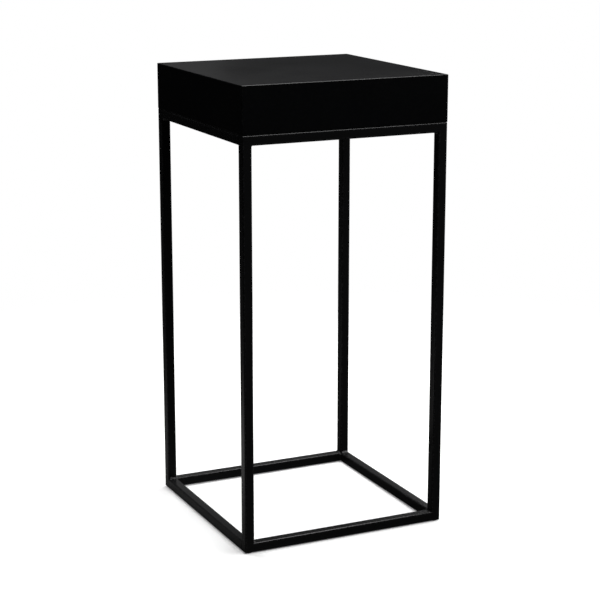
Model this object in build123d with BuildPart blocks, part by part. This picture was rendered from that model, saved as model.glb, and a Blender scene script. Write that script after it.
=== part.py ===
"""Display plinth: a lacquered display box bolted on a welded square-tube frame.

Lengths are in millimetres. +Z is up, and the origin lies on the floor at the centre
of the square footprint. The front faces -Y and the left side is at -X.
"""
from build123d import *
import os

# Driving dimensions of the whole plinth
side = 333.0              # outer width and depth, the same for frame and box
height = 700.0            # floor to display face
box_height = 71.0         # display box alone
tube = 15.0               # square steel tube, outer side
tube_wall = 1.5
tube_radius = 2.0         # rounded long edges of the tube
board = 16.0              # fibreboard of the display box
box_radius = 1.0          # eased edges of the display box
pad_thickness = 1.0       # felt pad between frame and floor

# Weld beads
bead_leg = 3.0            # fillet weld in an inner corner of the frame
bead_length = tube - 2 * tube_radius
bead_throat = 0.38        # middle of a bead's hollow face, as a share of its leg
plate_bead_leg = 2.0      # lighter weld under a fixing plate
plate_bead_length = 32.0

# Fixing plates in the corners of the top ring
plate_thickness = 3.0
plate_reach = 55.0        # along each rail, from the inner corner
plate_tip = 8.0           # blunt end of each arm
plate_snip = 5.0          # corner cut off to clear the weld
plate_recess = 1.0        # below the top of the ring
plate_hole = 7.0
hole_inset = 18.0         # from the inner faces of both rails

# M6 hardware that holds the box on the frame
bolt_shank = 5.9
bolt_length = 16.0
bolt_head = 10.5
bolt_head_height = 3.3
bolt_head_round = 2.0     # rounded rim of the button head
bolt_socket = 4.0         # hexagon key size
bolt_socket_depth = 2.1
washer_outer = 12.0
washer_hole = 6.4
washer_thickness = 1.6
insert_outer = 9.0
insert_bore = 6.1
insert_length = 12.0
insert_groove = 0.4       # depth of the rings that grip the board
insert_groove_width = 1.0
insert_hole_depth = 13.5

# Wood screws through the base panel into the corner blocks
screw_head = 8.0
screw_shank = 4.0
screw_length = 35.0
screw_point = 5.0
screw_tip = 0.2           # radius left at the very point
screw_hole_spare = 1.0    # hole in a corner block beyond the point
screw_near = 6.0          # inset of a screw from one side panel
screw_far = 25.0          # inset of the same screw from the other side panel

block = 30.0              # corner block, square section
block_chamfer = 4.0
base_gap = 0.25           # clearance of the base panel in the box
hole_gap = 0.05           # radial clearance of hardware in its holes
pad_diameter = 11.0

# Derived places
frame_bottom = pad_thickness
frame_top = height - box_height
frame_height = frame_top - frame_bottom
edge = side / 2
centre = edge - tube / 2              # tube centre lines
inner = edge - tube                   # inner faces of the tubes
inner_bottom = frame_bottom + tube    # top face of the bottom ring
inner_top = frame_top - tube          # underside of the top ring
plate_bottom = frame_top - plate_recess - plate_thickness
fixing = inner - hole_inset
box_inner = edge - board
base_top = frame_top + board
block_height = box_height - 2 * board

os.makedirs("parts", exist_ok=True)


def save(piece, name):
    """Label a finished piece and write it as one STEP file."""
    piece.part.label = name
    export_step(piece.part, f"parts/{name}.step")


def tube_section():
    """Hollow square section with rounded corners, drawn in the open sketch."""
    RectangleRounded(tube, tube, tube_radius)
    bore = tube - 2 * tube_wall
    RectangleRounded(bore, bore, tube_radius / 2, mode=Mode.SUBTRACT)


def mitre(x_sign, z_sign):
    """Plane of a 45 degree mitre. Its positive side holds the leg."""
    z_corner = frame_top if z_sign > 0 else frame_bottom
    return Plane(origin=(x_sign * edge, 0, z_corner), z_dir=(x_sign, 0, -z_sign))


def ground_tip(x_sign, y, z_sign):
    """Round the sharp outer tip of a mitre, where its weld is ground flush."""
    z_corner = frame_top if z_sign > 0 else frame_bottom
    start = Plane(origin=(0, y + tube / 2, 0), x_dir=(1, 0, 0), z_dir=(0, -1, 0))
    half = tube_radius / 2
    with BuildSketch(start) as tip:
        with Locations((x_sign * (edge - half), z_corner - z_sign * half)):
            Rectangle(tube_radius, tube_radius)
        with Locations((x_sign * (edge - tube_radius), z_corner - z_sign * tube_radius)):
            Circle(tube_radius, mode=Mode.SUBTRACT)
    extrude(tip.sketch, amount=tube, mode=Mode.SUBTRACT)


def weld_bead(origin, along_one, along_other, leg, length):
    """Fillet weld with a hollow face, in the corner between two faces.

    The two directions lie in the faces and leave the corner at right angles.
    """
    run = Vector(*along_one).cross(Vector(*along_other))
    with BuildSketch(Plane(origin=origin, x_dir=along_one, z_dir=run)) as section:
        with BuildLine():
            Line((leg, 0), (0, 0))
            Line((0, 0), (0, leg))
            ThreePointArc((0, leg), (bead_throat * leg, bead_throat * leg), (leg, 0))
        make_face()
    extrude(section.sketch, amount=length / 2, both=True)


sides_x = (("left", -1), ("right", 1))
sides_y = (("front", -1), ("back", 1))
levels = (("bottom", -1, frame_bottom + tube / 2, inner_bottom),
          ("top", 1, frame_top - tube / 2, inner_top))

# Front and back rectangles: legs and rails mitred at all four corners and ground flush
for y_name, y_sign in sides_y:
    for x_name, x_sign in sides_x:
        with BuildPart() as leg:
            with BuildSketch(Plane((x_sign * centre, y_sign * centre, frame_bottom))):
                tube_section()
            extrude(amount=frame_height)
            for z_sign in (-1, 1):
                split(bisect_by=mitre(x_sign, z_sign), keep=Keep.TOP)
                ground_tip(x_sign, y_sign * centre, z_sign)
        save(leg, f"leg_{y_name}_{x_name}")

    for z_name, z_sign, z_rail, _ in levels:
        start = Plane(origin=(-edge, y_sign * centre, z_rail), x_dir=(0, 1, 0), z_dir=(1, 0, 0))
        with BuildPart() as rail:
            with BuildSketch(start):
                tube_section()
            extrude(amount=side)
            for x_sign in (-1, 1):
                split(bisect_by=mitre(x_sign, z_sign), keep=Keep.BOTTOM)
                ground_tip(x_sign, y_sign * centre, z_sign)
        save(rail, f"{z_name}_rail_{y_name}")

# Side rails: square-cut tubes between the two rectangles
for z_name, _, z_rail, _ in levels:
    for x_name, x_sign in sides_x:
        start = Plane(origin=(x_sign * centre, -inner, z_rail), x_dir=(1, 0, 0), z_dir=(0, 1, 0))
        with BuildPart() as rail:
            with BuildSketch(start):
                tube_section()
            extrude(amount=2 * inner)
        save(rail, f"{z_name}_rail_{x_name}")

# Welds in the inner corners: leg to cross rail, leg to side rail, rail to rail
for z_name, z_sign, z_rail, z_inner in levels:
    for y_name, y_sign in sides_y:
        for x_name, x_sign in sides_x:
            inward_x = (-x_sign, 0, 0)
            inward_y = (0, -y_sign, 0)
            inward_z = (0, 0, -z_sign)
            x_in = x_sign * inner
            y_in = y_sign * inner
            with BuildPart() as welds:
                weld_bead((x_in, y_sign * centre, z_inner), inward_x, inward_z, bead_leg, bead_length)
                weld_bead((x_sign * centre, y_in, z_inner), inward_y, inward_z, bead_leg, bead_length)
                weld_bead((x_in, y_in, z_rail), inward_x, inward_y, bead_leg, bead_length)
            save(welds, f"{z_name}_corner_welds_{y_name}_{x_name}")

# Fixing plates, welded into the corners of the top ring
plate_outline = ((plate_snip, 0), (plate_reach, 0), (plate_reach, plate_tip),
                 (plate_tip, plate_reach), (0, plate_reach), (0, plate_snip))
for y_name, y_sign in sides_y:
    for x_name, x_sign in sides_x:
        corners = [(x_sign * (inner - u), y_sign * (inner - v)) for u, v in plate_outline]
        with BuildPart() as plate:
            with BuildSketch(Plane.XY.offset(plate_bottom)):
                with BuildLine():
                    Polyline(*corners, close=True)
                make_face()
                with Locations((x_sign * fixing, y_sign * fixing)):
                    Circle(plate_hole / 2, mode=Mode.SUBTRACT)
            extrude(amount=plate_thickness)
        save(plate, f"fixing_plate_{y_name}_{x_name}")

bead_middle = inner - (plate_snip + plate_reach) / 2
with BuildPart() as plate_welds:
    for _, y_sign in sides_y:
        for _, x_sign in sides_x:
            weld_bead((x_sign * bead_middle, y_sign * inner, plate_bottom),
                      (0, -y_sign, 0), (0, 0, -1), plate_bead_leg, plate_bead_length)
            weld_bead((x_sign * inner, y_sign * bead_middle, plate_bottom),
                      (-x_sign, 0, 0), (0, 0, -1), plate_bead_leg, plate_bead_length)
save(plate_welds, "plate_welds")

# Hardware between frame and box: washer and bolt from below, insert in the base panel
washer_bottom = plate_bottom - washer_thickness
with BuildPart() as washers:
    with BuildSketch(Plane.XY.offset(washer_bottom)):
        with GridLocations(2 * fixing, 2 * fixing, 2, 2):
            Circle(washer_outer / 2)
            Circle(washer_hole / 2, mode=Mode.SUBTRACT)
    extrude(amount=washer_thickness)
save(washers, "fixing_washers")

with BuildPart() as bolts:
    with BuildSketch(Plane.XY.offset(washer_bottom - bolt_head_height)):
        with GridLocations(2 * fixing, 2 * fixing, 2, 2):
            Circle(bolt_head / 2)
    extrude(amount=bolt_head_height)
    head_rims = bolts.edges().filter_by(GeomType.CIRCLE).group_by(Axis.Z)[0]
    fillet(head_rims, radius=bolt_head_round)
    with BuildSketch(Plane.XY.offset(washer_bottom)):
        with GridLocations(2 * fixing, 2 * fixing, 2, 2):
            Circle(bolt_shank / 2)
    extrude(amount=bolt_length)
    with BuildSketch(Plane.XY.offset(washer_bottom - bolt_head_height)):
        with GridLocations(2 * fixing, 2 * fixing, 2, 2):
            RegularPolygon(bolt_socket / 2, 6, major_radius=False)
    extrude(amount=bolt_socket_depth, mode=Mode.SUBTRACT)
save(bolts, "fixing_bolts")

with BuildPart() as inserts:
    with BuildSketch(Plane.XY.offset(frame_top)):
        with GridLocations(2 * fixing, 2 * fixing, 2, 2):
            Circle(insert_outer / 2)
            Circle(insert_bore / 2, mode=Mode.SUBTRACT)
    extrude(amount=insert_length)
    for share in (0.25, 0.5, 0.75):
        with BuildSketch(Plane.XY.offset(frame_top + share * insert_length)):
            with GridLocations(2 * fixing, 2 * fixing, 2, 2):
                Circle(insert_outer / 2)
                Circle(insert_outer / 2 - insert_groove, mode=Mode.SUBTRACT)
        extrude(amount=insert_groove_width, mode=Mode.SUBTRACT)
save(inserts, "threaded_inserts")

# Display box: blank with eased edges, which the mitre cuts part into five panels
with BuildPart() as blank:
    with BuildSketch(Plane.XY.offset(frame_top)):
        Rectangle(side, side)
    extrude(amount=box_height)
    fillet(blank.edges(), radius=box_radius)

top_cut = Plane(origin=(0, 0, height - board), z_dir=(0, 0, 1))
with BuildPart() as top_panel:
    add(blank.part)
    split(bisect_by=top_cut, keep=Keep.TOP)
    for x_way, y_way in ((1, 0), (-1, 0), (0, 1), (0, -1)):
        mitre_cut = Plane(origin=(x_way * edge, y_way * edge, height), z_dir=(-x_way, -y_way, 1))
        split(bisect_by=mitre_cut, keep=Keep.TOP)
save(top_panel, "box_top_panel")

side_ways = (("front", 0, -1), ("back", 0, 1), ("left", -1, 0), ("right", 1, 0))
for name, x_way, y_way in side_ways:
    across_x, across_y = y_way, x_way
    inner_cut = Plane(origin=(x_way * box_inner, y_way * box_inner, 0), z_dir=(x_way, y_way, 0))
    upper_cut = Plane(origin=(x_way * edge, y_way * edge, height), z_dir=(x_way, y_way, -1))
    with BuildPart() as side_panel:
        add(blank.part)
        split(bisect_by=inner_cut, keep=Keep.TOP)
        split(bisect_by=upper_cut, keep=Keep.TOP)
        for end in (-1, 1):
            end_x = x_way + end * across_x
            end_y = y_way + end * across_y
            away = (x_way - end * across_x, y_way - end * across_y, 0)
            end_cut = Plane(origin=(end_x * edge, end_y * edge, 0), z_dir=away)
            split(bisect_by=end_cut, keep=Keep.TOP)
    save(side_panel, f"box_side_panel_{name}")

screw_a = box_inner - screw_near
screw_b = box_inner - screw_far
screw_spots = [(sign_x * x, sign_y * y) for x, y in ((screw_a, screw_b), (screw_b, screw_a))
               for sign_x in (-1, 1) for sign_y in (-1, 1)]
head_depth = (screw_head - screw_shank) / 2

# Base panel, let in flush between the side panels
with BuildPart() as base_panel:
    with BuildSketch(Plane.XY.offset(frame_top)):
        Rectangle(2 * (box_inner - base_gap), 2 * (box_inner - base_gap))
    extrude(amount=board)
    with BuildSketch(Plane.XY.offset(frame_top)):
        with GridLocations(2 * fixing, 2 * fixing, 2, 2):
            Circle(insert_outer / 2 + hole_gap)
    extrude(amount=insert_hole_depth, mode=Mode.SUBTRACT)
    with BuildSketch(Plane.XY.offset(frame_top)):
        with Locations(*screw_spots):
            Circle(screw_shank / 2 + hole_gap)
    extrude(amount=board, mode=Mode.SUBTRACT)
    with BuildSketch(Plane.XY.offset(frame_top)):
        with Locations(*screw_spots):
            Circle(screw_head / 2 + hole_gap)
    extrude(amount=head_depth, taper=45, mode=Mode.SUBTRACT)
save(base_panel, "box_base_panel")

# Corner blocks, glued in the box and drilled for the wood screws
for y_name, y_sign in sides_y:
    for x_name, x_sign in sides_x:
        block_centre = box_inner - block / 2
        with BuildPart() as corner_block:
            with BuildSketch(Plane((x_sign * block_centre, y_sign * block_centre, base_top))):
                Rectangle(block, block)
            extrude(amount=block_height)
            inner_edge = corner_block.edges().filter_by(Axis.Z).sort_by_distance((0, 0, base_top))[0]
            chamfer(inner_edge, length=block_chamfer)
            with BuildSketch(Plane.XY.offset(base_top)):
                with Locations((x_sign * screw_a, y_sign * screw_b), (x_sign * screw_b, y_sign * screw_a)):
                    Circle(screw_shank / 2 + hole_gap)
            extrude(amount=screw_length - board + screw_hole_spare, mode=Mode.SUBTRACT)
        save(corner_block, f"corner_block_{y_name}_{x_name}")

with BuildPart() as wood_screws:
    with BuildSketch(Plane.XY.offset(frame_top)):
        with Locations(*screw_spots):
            Circle(screw_head / 2)
    extrude(amount=head_depth, taper=45)
    with BuildSketch(Plane.XY.offset(frame_top + head_depth)):
        with Locations(*screw_spots):
            Circle(screw_shank / 2)
    extrude(amount=screw_length - head_depth - screw_point)
    with Locations(*[(x, y, frame_top + screw_length - screw_point) for x, y in screw_spots]):
        Cone(bottom_radius=screw_shank / 2, top_radius=screw_tip, height=screw_point,
             align=(Align.CENTER, Align.CENTER, Align.MIN))
save(wood_screws, "wood_screws")

# Felt pads under the corners of the bottom ring
for y_name, y_sign in sides_y:
    for x_name, x_sign in sides_x:
        with BuildPart() as pad:
            with BuildSketch(Plane((x_sign * centre, y_sign * centre, 0))):
                Circle(pad_diameter / 2)
            extrude(amount=pad_thickness)
        save(pad, f"floor_pad_{y_name}_{x_name}")
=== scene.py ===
"""Display plinth: a black lacquered display box on a welded frame of square steel tube.

The script follows the plinth as it is put together: frame tubes, welds, fixing plates,
box panels, blocks and screws, the bolts that join box and frame, the floor pads, and
last the studio. Lengths are in metres and +Z is up.
"""

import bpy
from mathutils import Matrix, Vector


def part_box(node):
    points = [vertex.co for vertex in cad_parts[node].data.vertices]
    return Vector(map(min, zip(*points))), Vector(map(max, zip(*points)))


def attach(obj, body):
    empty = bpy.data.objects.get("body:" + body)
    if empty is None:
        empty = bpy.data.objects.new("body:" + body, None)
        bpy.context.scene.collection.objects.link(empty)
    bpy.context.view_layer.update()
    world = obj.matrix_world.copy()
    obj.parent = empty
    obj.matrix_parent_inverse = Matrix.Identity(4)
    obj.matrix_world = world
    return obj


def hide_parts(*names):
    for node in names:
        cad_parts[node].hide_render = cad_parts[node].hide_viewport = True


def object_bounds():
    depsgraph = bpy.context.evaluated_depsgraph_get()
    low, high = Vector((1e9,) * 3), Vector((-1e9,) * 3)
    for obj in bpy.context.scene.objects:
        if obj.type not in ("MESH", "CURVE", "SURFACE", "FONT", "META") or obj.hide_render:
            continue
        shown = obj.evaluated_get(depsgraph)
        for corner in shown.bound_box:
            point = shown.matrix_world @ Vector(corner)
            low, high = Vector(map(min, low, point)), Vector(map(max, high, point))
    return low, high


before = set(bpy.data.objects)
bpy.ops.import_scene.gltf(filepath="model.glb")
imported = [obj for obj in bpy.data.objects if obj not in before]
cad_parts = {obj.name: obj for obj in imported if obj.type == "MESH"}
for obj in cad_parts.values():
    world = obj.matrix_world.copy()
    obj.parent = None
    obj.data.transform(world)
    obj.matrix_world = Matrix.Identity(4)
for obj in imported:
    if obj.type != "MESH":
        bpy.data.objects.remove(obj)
cad_box = [list(corner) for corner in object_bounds()]

import math

import bmesh
import bpy
import numpy as np
from mathutils import Vector

MM = 0.001

# ------------------------------------------------------------------ frame tubes
# Twelve lengths of 15 mm square steel tube with rounded long edges. Legs and cross
# rails are mitred into a front and a back rectangle and ground flush at the tips; the
# side rails are cut square and welded between the two. Everything is powder coated.
edge = cad_box[1][0]
top_low, top_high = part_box("top_rail_left")
tube = top_high[0] - top_low[0]
frame_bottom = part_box("bottom_rail_left")[0][2]
frame_top = top_high[2]
centre_line = edge - tube / 2
inner = edge - tube
tube_radius = 2.0 * MM
tube_wall = 1.5 * MM
seam_height = 0.10 * MM      # weld crown left proud by the grinder
seam_width = 1.3 * MM
grind_uneven = 0.3           # of the crown's height, either way
grind_wave = 1400.0          # radians of that unevenness to a metre
arc_points = 6
flat_shares = (0.12, 0.5, 0.88)


def rounded_square(side, radius):
    """Outline of a square with round corners, as points (p, q) and their outward normals.

    Each corner is a quarter circle about a centre that lies one radius inside both
    sides. Three more points divide each flat, two of them close to the corners.
    """
    turn = np.linspace(0, np.pi / 2, arc_points)[None, :] + (np.pi / 2) * np.arange(4)[:, None]
    normal = np.stack([np.cos(turn), np.sin(turn)], axis=-1)
    middle = (np.pi / 2) * np.arange(4) + np.pi / 4
    centre = (side / 2 - radius) * np.sqrt(2) * np.stack([np.cos(middle), np.sin(middle)], axis=-1)
    arcs = centre[:, None, :] + radius * normal
    share = np.array(flat_shares)[None, :, None]
    following = np.roll(arcs[:, :1], -1, axis=0)
    flats = arcs[:, -1:] * (1 - share) + following * share
    flat_normal = np.repeat(normal[:, -1:], len(flat_shares), axis=1)
    points = np.concatenate([arcs, flats], axis=1).reshape(-1, 2)
    normals = np.concatenate([normal, flat_normal], axis=1).reshape(-1, 2)
    return points, normals


def ease(points, low, high, radius):
    """Round all edges of the block from low to high, for points on or in it.

    A point is measured from the nearest point of the block shrunk by the radius, and is
    drawn back along that line until it is no further off than the radius.
    """
    core = np.clip(points, np.array(low) + radius, np.array(high) - radius)
    away = points - core
    distance = np.linalg.norm(away, axis=-1, keepdims=True)
    return core + away * np.minimum(1.0, radius / np.maximum(distance, 1e-12))


def grid_faces(rows, columns, wrap_rows, caps, first):
    """Corner numbers of the quads between neighbouring rows and columns of a grid.

    Columns always close on themselves. Rows do where wrap_rows is set, and caps closes
    the first and the last row with one flat face each.
    """
    index = first + np.arange(rows * columns).reshape(rows, columns)
    here = index if wrap_rows else index[:-1]
    after = np.roll(index, -1, axis=0) if wrap_rows else index[1:]
    quads = np.stack([here, np.roll(here, -1, axis=1), np.roll(after, -1, axis=1), after], axis=-1)
    faces = quads.reshape(-1, 4).tolist()
    if caps:
        faces += [index[0][::-1].tolist(), index[-1].tolist()]
    return faces


def make_piece(name, grids, material, nodes, wear_and_sheen=None, wrap_rows=False, caps=False, crease=35):
    """One closed piece from grids of points, standing for CAD nodes and riding on the root.

    Points that fall together are merged, which closes poles, and each skin is turned so
    that its volume is positive. Edges sharper than the crease angle stay hard.
    """
    points = np.concatenate([grid.reshape(-1, 3) for grid in grids])
    faces = []
    first = 0
    for grid in grids:
        rows, columns = grid.shape[:2]
        faces += grid_faces(rows, columns, wrap_rows, caps, first)
        first += rows * columns
    mesh = bpy.data.meshes.new(name)
    mesh.from_pydata(points.tolist(), [], faces)
    # Edge mask: marks worn edges and where a painted edge highlight goes.
    rub_and_sheen = mesh.attributes.new("edge_wear_and_sheen", "FLOAT", "POINT")
    values = np.zeros(len(points)) if wear_and_sheen is None else np.concatenate([w.reshape(-1) for w in wear_and_sheen])
    rub_and_sheen.data.foreach_set("value", values.astype(np.float32))
    shape = bmesh.new()
    shape.from_mesh(mesh)
    bmesh.ops.remove_doubles(shape, verts=shape.verts, dist=1e-6)
    if shape.calc_volume(signed=True) < 0:
        bmesh.ops.reverse_faces(shape, faces=shape.faces)
    shape.to_mesh(mesh)
    shape.free()
    mesh.shade_smooth()
    mesh.set_sharp_from_angle(angle=math.radians(crease))
    mesh.materials.append(material)
    piece = bpy.data.objects.new(name, mesh)
    bpy.context.scene.collection.objects.link(piece)
    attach(piece, "root")
    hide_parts(*nodes)
    return piece


def new_group(name, inputs, outputs):
    """An empty shader node group with float inputs (name, value) and named float outputs."""
    group = bpy.data.node_groups.new(name, "ShaderNodeTree")
    for socket_name, value in inputs:
        socket = group.interface.new_socket(socket_name, in_out="INPUT", socket_type="NodeSocketFloat")
        socket.default_value = value
    for socket_name in outputs:
        group.interface.new_socket(socket_name, in_out="OUTPUT", socket_type="NodeSocketFloat")
    return group, group.nodes.new("NodeGroupInput"), group.nodes.new("NodeGroupOutput")


def add_math(tree, operation, first, second=None, third=None):
    """A Math node whose inputs are sockets or numbers; returns its output socket."""
    node = tree.nodes.new("ShaderNodeMath")
    node.operation = operation
    for place, value in enumerate((first, second, third)):
        if isinstance(value, bpy.types.NodeSocket):
            tree.links.new(value, node.inputs[place])
        elif value is not None:
            node.inputs[place].default_value = value
    return node.outputs[0]


def add_noise(tree, position, scale, detail=2.0, roughness=0.5):
    """A noise texture on a position socket; returns its value socket."""
    node = tree.nodes.new("ShaderNodeTexNoise")
    node.inputs["Detail"].default_value = detail
    node.inputs["Roughness"].default_value = roughness
    tree.links.new(position, node.inputs["Vector"])
    if isinstance(scale, bpy.types.NodeSocket):
        tree.links.new(scale, node.inputs["Scale"])
    else:
        node.inputs["Scale"].default_value = scale
    return node.outputs[0]


def add_step(tree, value, low, high):
    """A smooth step from 0 to 1 as a value socket goes from low to high."""
    node = tree.nodes.new("ShaderNodeMapRange")
    node.interpolation_type = "SMOOTHSTEP"
    node.inputs["From Min"].default_value = low
    node.inputs["From Max"].default_value = high
    tree.links.new(value, node.inputs["Value"])
    return node.outputs["Result"]


def make_spray_finish_and_sheen():
    """Node group for a sprayed finish: fine orange peel, wide clouds, and lighter edges that are partly
    rubbed and partly a painted edge highlight.

    Peel is a height for bump. Cloud is a slow change over a hand's width. The third output is the piece's
    edge mask broken up by a small noise: partly worn, thinner coat and partly a painted edge highlight.
    """
    group, given, made = new_group(
        "spray_finish_and_sheen",
        (("Peel Scale", 900.0), ("Cloud Scale", 9.0)),
        ("Peel", "Cloud", "Rub And Sheen"))
    position = group.nodes.new("ShaderNodeTexCoord").outputs["Object"]
    coarse = add_noise(group, position, given.outputs["Peel Scale"], 1.0)
    finer_scale = add_math(group, "MULTIPLY", given.outputs["Peel Scale"], 2.7)
    fine = add_noise(group, position, finer_scale, 1.0)
    peel = add_math(group, "MULTIPLY_ADD", fine, 0.35, coarse)
    cloud = add_noise(group, position, given.outputs["Cloud Scale"], 3.0, 0.55)
    worn_and_sheen = group.nodes.new("ShaderNodeAttribute")
    worn_and_sheen.attribute_name = "edge_wear_and_sheen"
    broken = add_noise(group, position, 260.0, 3.0, 0.6)
    rub_and_sheen = add_math(group, "MULTIPLY", worn_and_sheen.outputs["Fac"], add_step(group, broken, 0.42, 0.68))
    group.links.new(peel, made.inputs["Peel"])
    group.links.new(cloud, made.inputs["Cloud"])
    group.links.new(rub_and_sheen, made.inputs["Rub And Sheen"])
    return group


def new_material(name):
    """A node material with only a Principled shader; returns material, tree and shader."""
    material = bpy.data.materials.new(name)
    material.use_nodes = True
    tree = material.node_tree
    return material, tree, tree.nodes["Principled BSDF"]


def blend_colour(tree, share, first, second):
    """A colour that goes from first to second as share goes from 0 to 1."""
    node = tree.nodes.new("ShaderNodeMix")
    node.data_type = "RGBA"
    for place, colour in (("A", first), ("B", second)):
        if isinstance(colour, bpy.types.NodeSocket):
            tree.links.new(colour, node.inputs[place])
        else:
            node.inputs[place].default_value = (*colour, 1)
    tree.links.new(share, node.inputs["Factor"])
    return node.outputs["Result"]


def add_bump(tree, shader, height, strength, depth):
    """Bump of a height socket, to the given depth in metres, on the shader's normal."""
    bump = tree.nodes.new("ShaderNodeBump")
    bump.inputs["Strength"].default_value = strength
    bump.inputs["Distance"].default_value = depth
    tree.links.new(height, bump.inputs["Height"])
    tree.links.new(bump.outputs["Normal"], shader.inputs["Normal"])


spray_finish_and_sheen = make_spray_finish_and_sheen()


def make_powder_coat():
    """Satin black powder coat: deep black, fine orange peel, and greyer on edges, partly as thinner worn
    coat and partly as a painted edge highlight.
    """
    material, tree, shader = new_material("black_powder_coat")
    finish = tree.nodes.new("ShaderNodeGroup")
    finish.node_tree = spray_finish_and_sheen
    finish.inputs["Peel Scale"].default_value = 1100.0
    finish.inputs["Cloud Scale"].default_value = 14.0
    body = blend_colour(tree, finish.outputs["Cloud"], (0.0060, 0.0060, 0.0063), (0.0085, 0.0085, 0.0089))
    # Lighter grey on the edges: partly wear, partly a painted edge highlight.
    colour = blend_colour(tree, finish.outputs["Rub And Sheen"], body, (0.022, 0.022, 0.023))
    tree.links.new(colour, shader.inputs["Base Color"])
    sheen = add_math(tree, "MULTIPLY_ADD", finish.outputs["Cloud"], 0.08, 0.19)
    tree.links.new(sheen, shader.inputs["Roughness"])
    shader.inputs["Specular IOR Level"].default_value = 0.35
    add_bump(tree, shader, finish.outputs["Peel"], 0.35, 0.03 * MM)
    return material


powder_coat = make_powder_coat()


def tube_grid(start, outward, across, run, length, mitred):
    """Closed skin of a hollow tube: the outer outline carried along the run, and the bore back.

    A point at (p, q) of the outline starts at start + p outward + q across. On a mitred
    tube it starts later, and ends sooner, by its depth below the outer face. Close to the
    cuts the outer skin swells a little where the ground weld is.
    """
    outer, normal = rounded_square(tube, tube_radius)
    bore, _ = rounded_square(tube - 2 * tube_wall, tube_radius / 2)
    near = np.array([0.0, 0.5, 1.0, 1.5, 2.2, 3.2, 5.0, 12.0]) * MM / length
    share = np.concatenate([near, [0.25, 0.5, 0.75], 1 - near[::-1]])
    skins = []
    for outline, steps in ((outer, share), (bore, share[::-1])):
        depth = mitred * (tube / 2 - outline[:, 0])
        along = depth[None, :] + (length - 2 * depth[None, :]) * steps[:, None]
        flat = outline[:, :1] * outward + outline[:, 1:] * across
        skins.append(start + flat[None, :, :] + along[:, :, None] * run)
    from_end = np.minimum(share, 1 - share)[:, None] * length
    facing = normal[:, :1] * outward + normal[:, 1:] * across
    crown = seam_height * np.exp(-(from_end / seam_width) ** 2)
    wave = 1 - grind_uneven + grind_uneven * np.sin(skins[0].sum(axis=-1) * grind_wave)
    level = (1 - np.abs(facing[:, 2]))[None, :, None]
    skins[0] = skins[0] + (crown * wave)[:, :, None] * level * facing[None, :, :]
    return np.concatenate(skins)


def tube_wear_and_sheen(grid):
    """1 on the rounded long edges of a tube's outer skin and 0 on its flats and in its bore: where wear
    and a painted edge highlight go.
    """
    columns = grid.shape[1]
    corner = np.concatenate([np.ones(arc_points), np.zeros(len(flat_shares))])
    worn_and_sheen = np.tile(corner, columns // len(corner))
    rows = grid.shape[0]
    return np.concatenate([np.tile(worn_and_sheen, (rows // 2, 1)), np.zeros((rows - rows // 2, columns))])


far = 1.0                    # well past the frame, so that nothing is eased in y
to_x, to_y, to_z = np.eye(3)
sides_x = (("left", -1), ("right", 1))
sides_y = (("front", -1), ("back", 1))
levels = (("bottom", -1, frame_bottom + tube / 2), ("top", 1, frame_top - tube / 2))


def make_tube(name, start, outward, across, run, length, mitred):
    """One powder-coated tube in place of the CAD node of the same name."""
    grid = tube_grid(np.array(start), outward, across, run, length, mitred)
    if mitred:
        grid = ease(grid, (-edge, -far, frame_bottom), (edge, far, frame_top), tube_radius)
    make_piece(name + "_tube", [grid], powder_coat, [name],
               wear_and_sheen=[tube_wear_and_sheen(grid)], wrap_rows=True)


for y_name, y_sign in sides_y:
    y = y_sign * centre_line
    for x_name, x_sign in sides_x:
        make_tube(f"leg_{y_name}_{x_name}", (x_sign * centre_line, y, frame_bottom),
                  x_sign * to_x, to_y, to_z, frame_top - frame_bottom, 1)
    for z_name, z_sign, z in levels:
        make_tube(f"{z_name}_rail_{y_name}", (-edge, y, z), z_sign * to_z, to_y, to_x, 2 * edge, 1)
for x_name, x_sign in sides_x:
    for z_name, z_sign, z in levels:
        make_tube(f"{z_name}_rail_{x_name}", (x_sign * centre_line, -inner, z),
                  z_sign * to_z, to_x, to_y, 2 * inner, 0)

# ------------------------------------------------------------------------ welds
# Three fillet welds close each inner corner of the frame, laid by hand in short
# overlapping steps and powder coated with the tubes. Shorter, lighter ones hold the
# fixing plates.
corner_leg = 3.0 * MM
corner_run = tube - 2 * tube_radius
plate_leg = 2.0 * MM
plate_run = 32.0 * MM
ripple_pitch = 1.7 * MM
ripple_height = 0.16         # of the leg
ripple_lag = 0.35            # of a pitch, at the middle of the bead
leg_wander = 0.05            # of the leg
wander_rate = 5.1
hollow_power = 2.6
random = np.random.default_rng(7)


def bead_grid(corner, one_way, other_way, leg, length):
    """Closed skin of a fillet weld: a hollow quarter-round section carried along a corner.

    Across the bead the surface is a superellipse between the two faces. Along it the leg
    swells and shrinks once for each step of the torch, later at the middle than at the
    toes, which gives crescent ripples, and it runs out towards both ends.
    """
    run = np.cross(one_way, other_way)
    steps = 8 * int(round(length / ripple_pitch))
    s = np.linspace(-1, 1, steps + 1)[:, None]
    turn = np.linspace(0, np.pi / 2, 9)[None, :]
    crescent = ripple_lag * np.sin(2 * turn)
    phase = random.uniform(0, 1)
    ripple = np.abs(np.sin(np.pi * (s * length / 2 / ripple_pitch + crescent + phase)))
    wander = 1 + leg_wander * np.sin(wander_rate * s + 6.28 * phase)
    run_out = np.sqrt(np.clip(1 - np.abs(s) ** 5, 0.05, 1))
    toe = leg * wander * run_out
    bulge = 1 + ripple_height * (ripple - 0.5) * np.sin(2 * turn)
    p = toe * bulge * np.cos(turn) ** hollow_power
    q = toe * bulge * np.sin(turn) ** hollow_power
    p = np.concatenate([p, np.zeros_like(s)], axis=1)[:, :, None]
    q = np.concatenate([q, np.zeros_like(s)], axis=1)[:, :, None]
    return np.array(corner) + p * one_way + q * other_way + (s * length / 2)[:, :, None] * run


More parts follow.
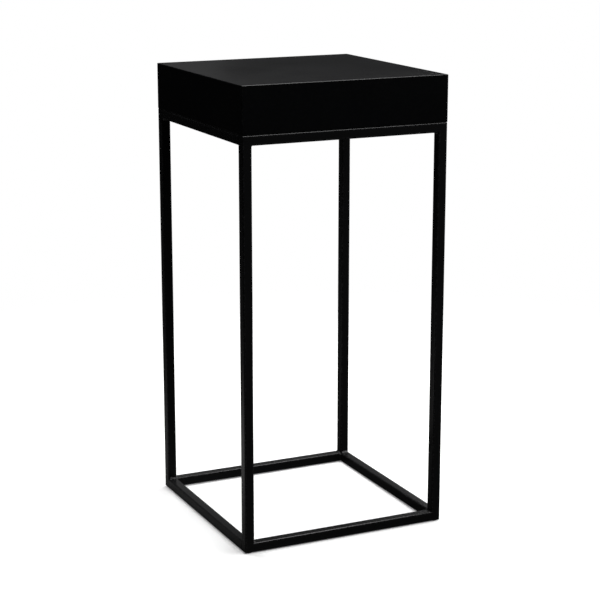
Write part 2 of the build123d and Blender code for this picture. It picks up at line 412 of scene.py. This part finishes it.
for z_name, z_sign, z in levels:
    z_inner = z - z_sign * tube / 2
    for y_name, y_sign in sides_y:
        for x_name, x_sign in sides_x:
            in_x = -x_sign * to_x
            in_y = -y_sign * to_y
            in_z = -z_sign * to_z
            x_in = x_sign * inner
            y_in = y_sign * inner
            beads = [
                bead_grid((x_in, y_sign * centre_line, z_inner), in_x, in_z, corner_leg, corner_run),
                bead_grid((x_sign * centre_line, y_in, z_inner), in_y, in_z, corner_leg, corner_run),
                bead_grid((x_in, y_in, z), in_x, in_y, corner_leg, corner_run)]
            node = f"{z_name}_corner_welds_{y_name}_{x_name}"
            make_piece(node + "_beads", beads, powder_coat, [node], caps=True)

plate_low, plate_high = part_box("fixing_plate_front_left")
plate_reach = plate_high[0] - plate_low[0]
plate_snip = 5.0 * MM
bead_middle = inner - (plate_snip + plate_reach) / 2
plate_beads = []
for _, y_sign in sides_y:
    for _, x_sign in sides_x:
        plate_beads += [
            bead_grid((x_sign * bead_middle, y_sign * inner, plate_low[2]),
                      -y_sign * to_y, -to_z, plate_leg, plate_run),
            bead_grid((x_sign * inner, y_sign * bead_middle, plate_low[2]),
                      -x_sign * to_x, -to_z, plate_leg, plate_run)]
make_piece("plate_weld_beads", plate_beads, powder_coat, ["plate_welds"],
           caps=True)

# --------------------------------------------------------------- fixing plates
# Laser-cut corners of 3 mm steel, welded inside the top ring a little below its top.
# The corner is snipped off to clear the weld, and one hole takes the fixing bolt.
plate_tip = 8.0 * MM
plate_hole_radius = 3.5 * MM
plate_eased = 0.35 * MM
plate_rays = 72
bolt_low, bolt_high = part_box("fixing_bolts")
head_radius = 5.25 * MM
fixing = bolt_high[0] - head_radius


def plate_grid(x_sign, y_sign):
    """Closed skin of a fixing plate, as rays from the hole to the outline and back below.

    The outline is convex, so the ray at an angle ends where it first meets the line of
    one of its sides: distance of the line over the cosine between ray and line normal.
    """
    corner = np.array([(plate_snip, 0), (plate_reach, 0), (plate_reach, plate_tip),
                       (plate_tip, plate_reach), (0, plate_reach), (0, plate_snip)]) - (inner - fixing)
    following = np.roll(corner, -1, axis=0)
    side = following - corner
    normal = np.stack([side[:, 1], -side[:, 0]], axis=1) / np.linalg.norm(side, axis=1, keepdims=True)
    distance = (normal * corner).sum(axis=1)
    even = np.linspace(-np.pi, np.pi, plate_rays + 1)[:-1]
    angle = np.sort(np.concatenate([even, np.arctan2(corner[:, 1], corner[:, 0])]))
    ray = np.stack([np.cos(angle), np.sin(angle)], axis=1)
    slope = ray @ normal.T
    reach = np.where(slope > 1e-6, distance / np.maximum(slope, 1e-6), 1.0).min(axis=1)
    turn = np.linspace(0, np.pi / 2, 4)
    inward = plate_eased * (1 - np.sin(turn))
    drop = plate_eased * (1 - np.cos(turn))
    hole = np.tile((plate_hole_radius + drop)[:, None], (1, len(angle)))
    rim = reach[None, :] - inward[:, None]
    top = plate_high[2]
    low = plate_low[2]
    radius = np.concatenate([hole, rim, rim[::-1], hole[::-1]])
    level = np.concatenate([top - inward, top - drop, low + drop[::-1], low + inward[::-1]])[:, None]
    x = x_sign * (fixing - radius * ray[None, :, 0])
    y = y_sign * (fixing - radius * ray[None, :, 1])
    return np.stack([x, y, level + 0 * radius], axis=-1)


for y_name, y_sign in sides_y:
    for x_name, x_sign in sides_x:
        node = f"fixing_plate_{y_name}_{x_name}"
        make_piece(node + "_blank", [plate_grid(x_sign, y_sign)], powder_coat,
                   [node], wrap_rows=True)

# ------------------------------------------------------------------ display box
# Five panels of 16 mm fibreboard, mitred along every edge so that no board edge shows,
# glued, eased and sprayed with satin black lacquer. Inside, the board is left bare.
board_low, board_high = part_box("box_base_panel")
board = board_high[2] - board_low[2]
box_bottom = board_low[2]
box_top = cad_box[1][2]
box_radius = 1.0 * MM
box_low = np.array([-edge, -edge, box_bottom])
box_high = np.array([edge, edge, box_top])
lacquer_depth = 0.6 * MM
from_edge = np.array([0.0, 0.35, 0.7, 1.0, 1.6, 4.0, 20.0]) * MM


def make_inside_mask():
    """Node group: 1 where a point lies deeper in the box than the lacquer, 0 on its outside."""
    group, given, made = new_group(
        "bare_inside",
        (("Half Side", 0.1), ("Bottom", 0.0), ("Top", 1.0)),
        ("Bare",))
    position = group.nodes.new("ShaderNodeTexCoord").outputs["Object"]
    split = group.nodes.new("ShaderNodeSeparateXYZ")
    group.links.new(position, split.inputs[0])
    widest = add_math(group, "MAXIMUM", add_math(group, "ABSOLUTE", split.outputs[0]),
                      add_math(group, "ABSOLUTE", split.outputs[1]))
    inside = add_math(group, "LESS_THAN", widest, given.outputs["Half Side"])
    above = add_math(group, "GREATER_THAN", split.outputs[2], given.outputs["Bottom"])
    below = add_math(group, "LESS_THAN", split.outputs[2], given.outputs["Top"])
    bare = add_math(group, "MULTIPLY", inside, add_math(group, "MULTIPLY", above, below))
    group.links.new(bare, made.inputs["Bare"])
    return group


bare_inside = make_inside_mask()


def make_box_lacquer():
    """Satin black lacquer outside, smooth and slightly cloudy, and bare brown board inside."""
    material, tree, shader = new_material("black_box_lacquer")
    finish = tree.nodes.new("ShaderNodeGroup")
    finish.node_tree = spray_finish_and_sheen
    finish.inputs["Peel Scale"].default_value = 700.0
    finish.inputs["Cloud Scale"].default_value = 6.0
    mask = tree.nodes.new("ShaderNodeGroup")
    mask.node_tree = bare_inside
    mask.inputs["Half Side"].default_value = edge - lacquer_depth
    mask.inputs["Bottom"].default_value = box_bottom + lacquer_depth
    mask.inputs["Top"].default_value = box_top - lacquer_depth
    position = tree.nodes.new("ShaderNodeTexCoord").outputs["Object"]
    fibre = add_noise(tree, position, 1800.0, 4.0, 0.7)
    body = blend_colour(tree, finish.outputs["Cloud"], (0.0011, 0.0012, 0.0015), (0.0017, 0.0018, 0.0022))
    # Lighter grey on the outer edges: partly wear, partly a painted edge highlight.
    coated = blend_colour(tree, finish.outputs["Rub And Sheen"], body, (0.018, 0.018, 0.019))
    bare = blend_colour(tree, fibre, (0.20, 0.125, 0.070), (0.34, 0.235, 0.145))
    colour = blend_colour(tree, mask.outputs["Bare"], coated, bare)
    tree.links.new(colour, shader.inputs["Base Color"])
    sheen = add_math(tree, "MULTIPLY_ADD", finish.outputs["Cloud"], 0.12, 0.25)
    rough = add_math(tree, "MAXIMUM", sheen, add_math(tree, "MULTIPLY", mask.outputs["Bare"], 0.9))
    tree.links.new(rough, shader.inputs["Roughness"])
    shader.inputs["Specular IOR Level"].default_value = 0.35
    add_bump(tree, shader, finish.outputs["Peel"], 0.25, 0.02 * MM)
    return material


box_lacquer = make_box_lacquer()


def box_wear_and_sheen(grid):
    """1 on the outer edges of the box, falling off over a millimetre: where wear and a painted edge
    highlight go.
    """
    away = np.concatenate([grid - box_low, box_high - grid], axis=-1)
    second = np.sort(away, axis=-1)[..., 1]
    return np.exp(-(second / MM) ** 2)


def side_panel_grid(x_way, y_way):
    """Skin of a side panel: its mitred section carried across the box, cut at 45 degrees.

    A section point at depth d below the outer face runs from -(edge - d) to edge - d.
    """
    close = np.array([0.0, 0.35, 0.7, 1.0, 1.6]) * MM
    slant = np.array([board, 1.6 * MM, 1.0 * MM, 0.5 * MM])
    depth = np.concatenate([slant, np.zeros(2 * len(close)), close[1:], [board]])
    level = np.concatenate([box_top - slant, box_top - close, box_bottom + close[::-1],
                            np.full(len(close) - 1, box_bottom), [box_bottom]])
    near = from_edge / (2 * edge)
    share = np.concatenate([near, [0.25, 0.5, 0.75], 1 - near[::-1]])[:, None]
    across = (2 * share - 1) * (edge - depth)[None, :]
    out = (edge - depth)[None, :] + 0 * across
    x = x_way * out + y_way * across
    y = y_way * out + x_way * across
    return ease(np.stack([x, y, level[None, :] + 0 * across], axis=-1), box_low, box_high, box_radius)


for name, x_way, y_way in (("front", 0, -1), ("back", 0, 1), ("left", -1, 0), ("right", 1, 0)):
    grid = side_panel_grid(x_way, y_way)
    make_piece(f"box_side_{name}", [grid], box_lacquer, [f"box_side_panel_{name}"],
               wear_and_sheen=[box_wear_and_sheen(grid)], caps=True)


def top_panel_grid():
    """Skin of the top panel: square outlines that grow from its centre to the edge and back.

    Each outline is the unit square scaled to the half side at its depth, out over the
    display face, in down the mitre and back to the centre of the underside.
    """
    near = from_edge / edge
    along = np.concatenate([-1 + near, [-0.5, 0.0, 0.5], 1 - near[:0:-1]])
    one = np.ones_like(along)
    unit = np.concatenate([np.stack([along, -one], axis=1), np.stack([one, along], axis=1),
                           np.stack([-along, one], axis=1), np.stack([-one, -along], axis=1)])
    close = np.array([edge, edge / 2, 20 * MM, 4 * MM, 1.6 * MM, 1.0 * MM, 0.7 * MM, 0.35 * MM, 0.0])
    slant = np.array([0.5 * MM, 1.0 * MM, 1.6 * MM, board])
    depth = np.concatenate([close, slant, [edge / 2, edge]])
    level = np.concatenate([np.full(len(close), box_top), box_top - slant, np.full(2, box_top - board)])
    flat = (edge - depth)[:, None, None] * unit[None, :, :]
    height = np.tile(level[:, None, None], (1, len(unit), 1))
    return ease(np.concatenate([flat, height], axis=-1), box_low, box_high, box_radius)


top_grid = top_panel_grid()
make_piece("box_top", [top_grid], box_lacquer, ["box_top_panel"],
           wear_and_sheen=[box_wear_and_sheen(top_grid)])

# The base panel is let in between the side panels, drilled for inserts and screws. Its
# shape is the CAD's own; its underside is sprayed with the rest.
base_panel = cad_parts["box_base_panel"]
base_panel.data.materials.clear()
base_panel.data.materials.append(box_lacquer)

# -------------------------------------------------------------- corner blocks
# Planed softwood blocks glued into the corners inside the box, which take the screws
# of the base panel. Upright grain, unfinished.


def make_softwood():
    """Unfinished softwood: growth rings round a leaning heart line, with fine fibres along it."""
    material, tree, shader = new_material("planed_softwood")
    position = tree.nodes.new("ShaderNodeTexCoord").outputs["Object"]
    lie = tree.nodes.new("ShaderNodeMapping")
    lie.inputs["Location"].default_value = (0.31, 0.12, 0)
    lie.inputs["Rotation"].default_value = (0.06, 0.04, 0)
    lie.inputs["Scale"].default_value = (1, 1, 0.12)
    tree.links.new(position, lie.inputs["Vector"])
    rings = tree.nodes.new("ShaderNodeTexWave")
    rings.wave_type = "RINGS"
    rings.rings_direction = "Z"
    rings.inputs["Scale"].default_value = 55.0
    rings.inputs["Distortion"].default_value = 2.0
    rings.inputs["Detail"].default_value = 2.0
    tree.links.new(lie.outputs["Vector"], rings.inputs["Vector"])
    fibre = add_noise(tree, lie.outputs["Vector"], 1500.0, 3.0, 0.6)
    ringed = blend_colour(tree, rings.outputs["Fac"], (0.66, 0.47, 0.27), (0.50, 0.31, 0.15))
    colour = blend_colour(tree, add_math(tree, "MULTIPLY", fibre, 0.35), ringed, (0.40, 0.25, 0.12))
    tree.links.new(colour, shader.inputs["Base Color"])
    rough = add_math(tree, "MULTIPLY_ADD", fibre, 0.2, 0.6)
    tree.links.new(rough, shader.inputs["Roughness"])
    add_bump(tree, shader, fibre, 0.4, 0.05 * MM)
    return material


softwood = make_softwood()
for y_name, _ in sides_y:
    for x_name, _ in sides_x:
        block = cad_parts[f"corner_block_{y_name}_{x_name}"]
        block.data.materials.clear()
        block.data.materials.append(softwood)

# ------------------------------------------------------------------- fasteners
# Zinc-plated steel: four M6 button-head bolts with washers hold the box on the frame
# from below, and eight countersunk wood screws hold the base panel to the blocks.
round_columns = 36
bolt_head_height = 3.3 * MM
dome_height = 2.7 * MM
dome_start = 3.0 * MM        # radius of the flat round the socket
socket_depth = 2.1 * MM
socket_half = 2.0 * MM       # from the axis to a flat of the hexagon
bolt_thread = 2.95 * MM      # radius over the thread
bolt_pitch = 1.0 * MM


def make_zinc(name, tint, roughness):
    """Plated metal: a pale tint that drifts a little, with fine turning marks in its gloss."""
    material, tree, shader = new_material(name)
    position = tree.nodes.new("ShaderNodeTexCoord").outputs["Object"]
    drift = add_noise(tree, position, 160.0, 2.0)
    marks = add_noise(tree, position, 3000.0, 2.0)
    darker = tuple(0.78 * part for part in tint)
    tree.links.new(blend_colour(tree, drift, tint, darker), shader.inputs["Base Color"])
    tree.links.new(add_math(tree, "MULTIPLY_ADD", marks, 0.16, roughness), shader.inputs["Roughness"])
    shader.inputs["Metallic"].default_value = 1.0
    add_bump(tree, shader, marks, 0.2, 0.01 * MM)
    return material


zinc_plate = make_zinc("bright_zinc_plate", (0.66, 0.68, 0.70), 0.20)
cast_zinc = make_zinc("die_cast_zinc", (0.58, 0.58, 0.56), 0.36)


def turned_grid(radius, level, centre, turn=0.0):
    """Skin of a turned part: radius and height, both by row and angle, about an upright axis."""
    columns = radius.shape[1]
    angle = np.arange(columns) * 2 * np.pi / columns + turn
    x = centre[0] + radius * np.cos(angle)
    y = centre[1] + radius * np.sin(angle)
    return np.stack([x, y, level + 0 * radius], axis=-1)


def thread_rows(radius, depth, pitch, bottom, top, per_turn=6):
    """Radius and height of a thread: a triangle wave of height over pitch minus turns made."""
    level = np.linspace(bottom, top, max(2, int(round((top - bottom) / pitch * per_turn))))[:, None]
    turns = np.arange(round_columns)[None, :] / round_columns
    wave = np.abs(2 * ((level / pitch - turns) % 1.0) - 1)
    fade = np.clip(np.minimum(level - bottom, top - level) / pitch, 0, 1)
    return radius - depth * wave * fade, level + 0 * turns


def full_rows(radius, level):
    """The same radius and height at every angle, one row for each pair."""
    rows = len(radius)
    return (np.tile(np.array(radius)[:, None], (1, round_columns)),
            np.tile(np.array(level)[:, None], (1, round_columns)))


def bolt_grid(centre, turn):
    """Button-head bolt, from the floor of its hexagon socket over the dome to the thread's end.

    The socket's radius at an angle is its half width over the cosine to the nearest flat.
    """
    bottom = bolt_low[2]
    under_head = bottom + bolt_head_height
    angle = np.arange(round_columns) * 2 * np.pi / round_columns
    hexagon = (socket_half / np.cos((angle % (np.pi / 3)) - np.pi / 6))[None, :]
    floor_radius, floor_level = full_rows([0.0], [bottom + socket_depth + 0.7 * MM])
    socket_radius = np.concatenate([0.98 * hexagon, hexagon, hexagon + 0.15 * MM])
    socket_level = np.array([socket_depth, 0.2 * MM, 0.0])[:, None] + bottom + 0 * socket_radius
    swing = np.linspace(0, np.pi / 2, 9)
    dome = full_rows(dome_start + (head_radius - dome_start) * np.sin(swing),
                     bottom + dome_height * (1 - np.cos(swing)))
    rim = full_rows([head_radius, head_radius - 0.2 * MM, 3.1 * MM, bolt_thread],
                    [under_head - 0.2 * MM, under_head, under_head, under_head + 0.2 * MM])
    thread = thread_rows(bolt_thread, 0.5 * MM, bolt_pitch, under_head + 0.3 * MM,
                         bolt_high[2] - 0.6 * MM)
    tip = full_rows([2.35 * MM, 0.0], [bolt_high[2], bolt_high[2]])
    radius = np.concatenate([floor_radius, socket_radius, dome[0], rim[0], thread[0], tip[0]])
    level = np.concatenate([floor_level, socket_level, dome[1], rim[1], thread[1], tip[1]])
    return turned_grid(radius, level, centre, turn)


fixings = [(x_sign * fixing, y_sign * fixing) for _, y_sign in sides_y for _, x_sign in sides_x]
bolts = [bolt_grid(spot, random.uniform(0, 2 * np.pi)) for spot in fixings]
make_piece("button_head_bolts", bolts, zinc_plate, ["fixing_bolts"])

washer_low, washer_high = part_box("fixing_washers")
washer_radius = 6.0 * MM
washer_hole = 3.2 * MM


def washer_grid(centre):
    """Stamped washer: a rounded flat ring, its section's corners turned over by the die."""
    soft = 0.25 * MM
    swing = np.linspace(0, np.pi / 2, 4)
    outer = washer_radius - soft + soft * np.sin(swing)
    hole = washer_hole + 0.5 * soft * (1 - np.sin(swing))
    rise = soft * (1 - np.cos(swing))
    low = washer_low[2]
    high = washer_high[2]
    radius = np.concatenate([outer, outer[::-1], hole[::-1], hole])
    level = np.concatenate([low + rise, high - rise[::-1], high - 0.5 * rise, low + 0.5 * rise[::-1]])
    return turned_grid(*full_rows(radius, level), centre)


make_piece("plain_washers", [washer_grid(spot) for spot in fixings], zinc_plate,
           ["fixing_washers"], wrap_rows=True)

insert_low, insert_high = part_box("threaded_inserts")
insert_radius = 4.5 * MM
insert_bore = 3.05 * MM
barb_depth = 0.45 * MM


def insert_grid(centre):
    """Threaded insert: a barbed sleeve outside, the bolt's thread inside."""
    low = insert_low[2]
    high = insert_high[2]
    share = np.linspace(0, 1, 40)
    barbs = insert_radius - barb_depth * ((4 * share) % 1.0)
    outer = full_rows(barbs, low + share * (high - low))
    inside = thread_rows(insert_bore, -0.12 * MM, bolt_pitch, low, high)
    radius = np.concatenate([outer[0], inside[0][::-1]])
    level = np.concatenate([outer[1], inside[1][::-1]])
    return turned_grid(radius, level, centre)


make_piece("m6_inserts", [insert_grid(spot) for spot in fixings], cast_zinc,
           ["threaded_inserts"], wrap_rows=True)

screw_low, screw_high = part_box("wood_screws")
screw_head_radius = 4.0 * MM
screw_far = screw_high[0] - screw_head_radius
screw_spread = 19.0 * MM     # between the two insets of a screw
screw_close = screw_far - screw_spread
screw_radius = 2.0 * MM
screw_thread = 0.6 * MM
screw_pitch = 1.8 * MM
recess_depth = 2.0 * MM
recess_reach = 2.5 * MM


def screw_grid(centre, turn):
    """Countersunk wood screw, head down: cross recess, cone, coarse thread and point.

    The recess is deepest on the axis and shallower with radius, on four arms where the
    cosine of four times the angle is high.
    """
    low = screw_low[2]
    high = screw_high[2]
    angle = np.arange(round_columns)[None, :] * 2 * np.pi / round_columns
    face_radius = np.array([0.0, 0.4, 0.8, 1.2, 1.6, 2.0, 2.4, 3.0, 3.8])[:, None] * MM + 0 * angle
    arm = 1 / (1 + np.exp(-14 * (np.cos(4 * angle) - 0.35)))
    cut = np.clip(1 - face_radius / recess_reach, 0, 1)
    face_level = low + recess_depth * cut * np.maximum(arm, face_radius < 0.9 * MM)
    cone = full_rows([3.95 * MM, 4.0 * MM, 2.1 * MM], [low + 0.05 * MM, low + 0.15 * MM, low + 2.05 * MM])
    thread = thread_rows(screw_radius, screw_thread, screw_pitch, low + 2.4 * MM, high - 5.0 * MM)
    point = full_rows([1.5 * MM, 1.2 * MM, 0.75 * MM, 0.0],
                      [high - 4.6 * MM, high - 3.2 * MM, high - 1.6 * MM, high])
    radius = np.concatenate([face_radius, cone[0], thread[0], point[0]])
    level = np.concatenate([face_level, cone[1], thread[1], point[1]])
    return turned_grid(radius, level, centre, turn)


screw_spots = [(sign_x * x, sign_y * y) for x, y in ((screw_far, screw_close), (screw_close, screw_far))
               for sign_x in (-1, 1) for sign_y in (-1, 1)]
screws = [screw_grid(spot, random.uniform(0, 2 * np.pi)) for spot in screw_spots]
make_piece("countersunk_screws", screws, zinc_plate, ["wood_screws"])

# ------------------------------------------------------------------ floor pads
# Thin discs of dense black felt under the four corners of the floor ring.
pad_columns = 48


def make_felt():
    """Dense black felt: matt, with a mottled surface of matted fibres."""
    material, tree, shader = new_material("black_needle_felt")
    position = tree.nodes.new("ShaderNodeTexCoord").outputs["Object"]
    fibres = add_noise(tree, position, 2600.0, 5.0, 0.75)
    tree.links.new(blend_colour(tree, fibres, (0.008, 0.008, 0.008), (0.035, 0.034, 0.033)),
                   shader.inputs["Base Color"])
    shader.inputs["Roughness"].default_value = 0.95
    shader.inputs["Specular IOR Level"].default_value = 0.2
    add_bump(tree, shader, fibres, 0.8, 0.15 * MM)
    return material


def pad_grid(low, high):
    """A felt disc: flat faces, a side that bulges as half an ellipse, and a ragged rim."""
    radius = (high[0] - low[0]) / 2
    thick = high[2] - low[2]
    swing = np.linspace(0, np.pi, 9)
    spread = np.concatenate([[0.0, 0.5, 0.85], 0.93 + 0.07 * np.sin(swing), [0.85, 0.5, 0.0]])[:, None]
    level = np.concatenate([np.zeros(3), (1 - np.cos(swing)) / 2, np.ones(3)])[:, None]
    angle = np.arange(pad_columns)[None, :] * 2 * np.pi / pad_columns
    ragged = 1 - 0.012 * random.uniform(0, 1, (len(spread), pad_columns)) * (spread > 0.9)
    x = (low[0] + high[0]) / 2 + radius * spread * ragged * np.cos(angle)
    y = (low[1] + high[1]) / 2 + radius * spread * ragged * np.sin(angle)
    return np.stack([x, y, low[2] + thick * level + 0 * x], axis=-1)


felt = make_felt()
for y_name, _ in sides_y:
    for x_name, _ in sides_x:
        node = f"floor_pad_{y_name}_{x_name}"
        make_piece(node + "_felt", [pad_grid(*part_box(node))], felt, [node])

# ---------------------------------------------------------------------- studio
# A white floor that runs out into a white background, in a nearly dark room. Two ceiling
# softboxes and one at the right do most of the lighting. Behind the plinth stand a weaker
# one and three faint glows, and one faint light is under the floor.
floor_radius = 3.0
floor_points = 96
floor_glow = 0.16            # added for the camera alone, lifts the shadows
fade_near = 0.6
fade_far = 1.5
pool_place = (-0.6, 0.15, 0)     # bright patch of the floor in the plinth's gloss
pool_size = 0.36
pool_share = 0.42
rest_share = 0.02


def make_floor():
    """White floor that fades into the white background, and shows only weakly in gloss.

    In reflections the floor is dim but for one round pool of light, whose strength is
    e to the minus square of the distance from its middle over its size. The camera sees
    through it from below.
    """
    angle = np.linspace(0, 2 * np.pi, floor_points + 1)[:-1]
    rim = np.stack([floor_radius * np.cos(angle), floor_radius * np.sin(angle), 0 * angle], axis=1)
    mesh = bpy.data.meshes.new("studio_floor")
    mesh.from_pydata(rim.tolist(), [], [list(range(len(rim)))])
    floor = bpy.data.objects.new("studio_floor", mesh)
    bpy.context.scene.collection.objects.link(floor)
    material = bpy.data.materials.new("studio_white")
    material.use_nodes = True
    tree = material.node_tree
    tree.nodes.clear()
    out = tree.nodes.new("ShaderNodeOutputMaterial")
    white = tree.nodes.new("ShaderNodeBsdfDiffuse")
    white.inputs["Color"].default_value = (0.9, 0.9, 0.9, 1)
    clear = tree.nodes.new("ShaderNodeBsdfTransparent")
    glow = tree.nodes.new("ShaderNodeEmission")
    glow.inputs["Strength"].default_value = floor_glow
    lit = tree.nodes.new("ShaderNodeAddShader")
    dim = tree.nodes.new("ShaderNodeMixShader")
    fade = tree.nodes.new("ShaderNodeMixShader")
    seen = tree.nodes.new("ShaderNodeMixShader")
    position = tree.nodes.new("ShaderNodeTexCoord").outputs["Object"]
    length = tree.nodes.new("ShaderNodeVectorMath")
    length.operation = "LENGTH"
    tree.links.new(position, length.inputs[0])
    off = tree.nodes.new("ShaderNodeVectorMath")
    off.operation = "DISTANCE"
    off.inputs[1].default_value = pool_place
    tree.links.new(position, off.inputs[0])
    away = add_step(tree, length.outputs["Value"], fade_near, fade_far)
    share = add_math(tree, "DIVIDE", off.outputs["Value"], pool_size)
    square = add_math(tree, "MULTIPLY", share, share)
    bell = add_math(tree, "EXPONENT", add_math(tree, "MULTIPLY", square, -1.0))
    tree.links.new(add_math(tree, "MULTIPLY_ADD", bell, pool_share, rest_share), dim.inputs[0])
    tree.links.new(clear.outputs[0], dim.inputs[1])
    tree.links.new(white.outputs[0], dim.inputs[2])
    tree.links.new(white.outputs[0], lit.inputs[0])
    tree.links.new(glow.outputs[0], lit.inputs[1])
    under = tree.nodes.new("ShaderNodeNewGeometry").outputs["Backfacing"]
    tree.links.new(add_math(tree, "MAXIMUM", away, under), fade.inputs[0])
    tree.links.new(lit.outputs[0], fade.inputs[1])
    tree.links.new(clear.outputs[0], fade.inputs[2])
    path = tree.nodes.new("ShaderNodeLightPath")
    tree.links.new(path.outputs["Is Camera Ray"], seen.inputs[0])
    tree.links.new(dim.outputs[0], seen.inputs[1])
    tree.links.new(fade.outputs[0], seen.inputs[2])
    tree.links.new(seen.outputs[0], out.inputs["Surface"])
    mesh.materials.append(material)


make_floor()


def make_room():
    """Background: white to the camera, nearly dark to everything that the plinth reflects."""
    world = bpy.data.worlds.new("studio_room")
    bpy.context.scene.world = world
    world.use_nodes = True
    tree = world.node_tree
    tree.nodes.clear()
    seen = tree.nodes.new("ShaderNodeBackground")
    seen.inputs["Color"].default_value = (1, 1, 1, 1)
    dark = tree.nodes.new("ShaderNodeBackground")
    dark.inputs["Color"].default_value = (0.0015, 0.0015, 0.0016, 1)
    path = tree.nodes.new("ShaderNodeLightPath")
    mix = tree.nodes.new("ShaderNodeMixShader")
    out = tree.nodes.new("ShaderNodeOutputWorld")
    tree.links.new(path.outputs["Is Camera Ray"], mix.inputs[0])
    tree.links.new(dark.outputs[0], mix.inputs[1])
    tree.links.new(seen.outputs[0], mix.inputs[2])
    tree.links.new(mix.outputs[0], out.inputs["Surface"])


make_room()


def make_softbox(name, place, aim, width, length, watts):
    """A rectangular area light at a place, turned to face its aim."""
    light = bpy.data.lights.new(name, "AREA")
    light.shape = "RECTANGLE"
    light.size = width
    light.size_y = length
    light.energy = watts
    lamp = bpy.data.objects.new(name, light)
    lamp.location = place
    lamp.rotation_mode = "QUATERNION"
    lamp.rotation_quaternion = (Vector(aim) - Vector(place)).to_track_quat("-Z", "Y")
    bpy.context.scene.collection.objects.link(lamp)
    return lamp


make_softbox("front_ceiling_softbox", (0.6, -0.6, 2.4), (0.6, -0.6, 0), 1.6, 2.4, 76.0)
make_softbox("back_ceiling_softbox", (-0.3, 0.8, 2.4), (-0.3, 0.8, 0), 1.8, 1.0, 50.0)
make_softbox("right_softbox", (2.2, 0.2, 1.3), (0, 0, 0), 2.4, 1.2, 26.0)
make_softbox("low_back_softbox", (2.0, 2.0, 0.5), (0, 0, 0.2), 1.0, 0.8, 5.0)
make_softbox("back_wall_glow", (1.0, 2.4, 0.5), (0, 0, 0.2), 1.0, 0.8, 0.25)
make_softbox("back_strip_glow", (0.8, 2.6, 0.95), (0.16, 0, 0.6), 0.3, 0.5, 0.05)
low_glow = make_softbox("low_glow", (0.75, 1.3, 0.45), (0, 0, 0.1), 1.2, 0.4, 0.12)
low_glow.visible_camera = False
under_light = make_softbox("under_light", (0, 0, -1.2), (0, 0, 0), 1.4, 1.4, 1.6)
under_light.visible_camera = False

azimuth = math.radians(-25.32)
elevation = math.radians(13.81)
distance = 2.736
aim_height = 0.3372
aim_right = 0.0021
lens = 104.5                 # millimetres, on a sensor 36 wide
back = Vector((math.sin(azimuth) * math.cos(elevation), -math.cos(azimuth) * math.cos(elevation),
               math.sin(elevation)))
camera = bpy.data.objects.new("camera", bpy.data.cameras.new("camera"))
camera.data.sensor_width = 36.0
camera.data.lens = lens
camera.location = (Vector((math.cos(azimuth), math.sin(azimuth), 0)) * aim_right
                   + Vector((0, 0, aim_height)) + back * distance)
camera.rotation_mode = "QUATERNION"
camera.rotation_quaternion = (-back).to_track_quat("-Z", "Y")
bpy.context.scene.collection.objects.link(camera)
bpy.context.scene.camera = camera
bpy.context.scene.view_settings.view_transform = "Standard"

bpy.context.view_layer.update()
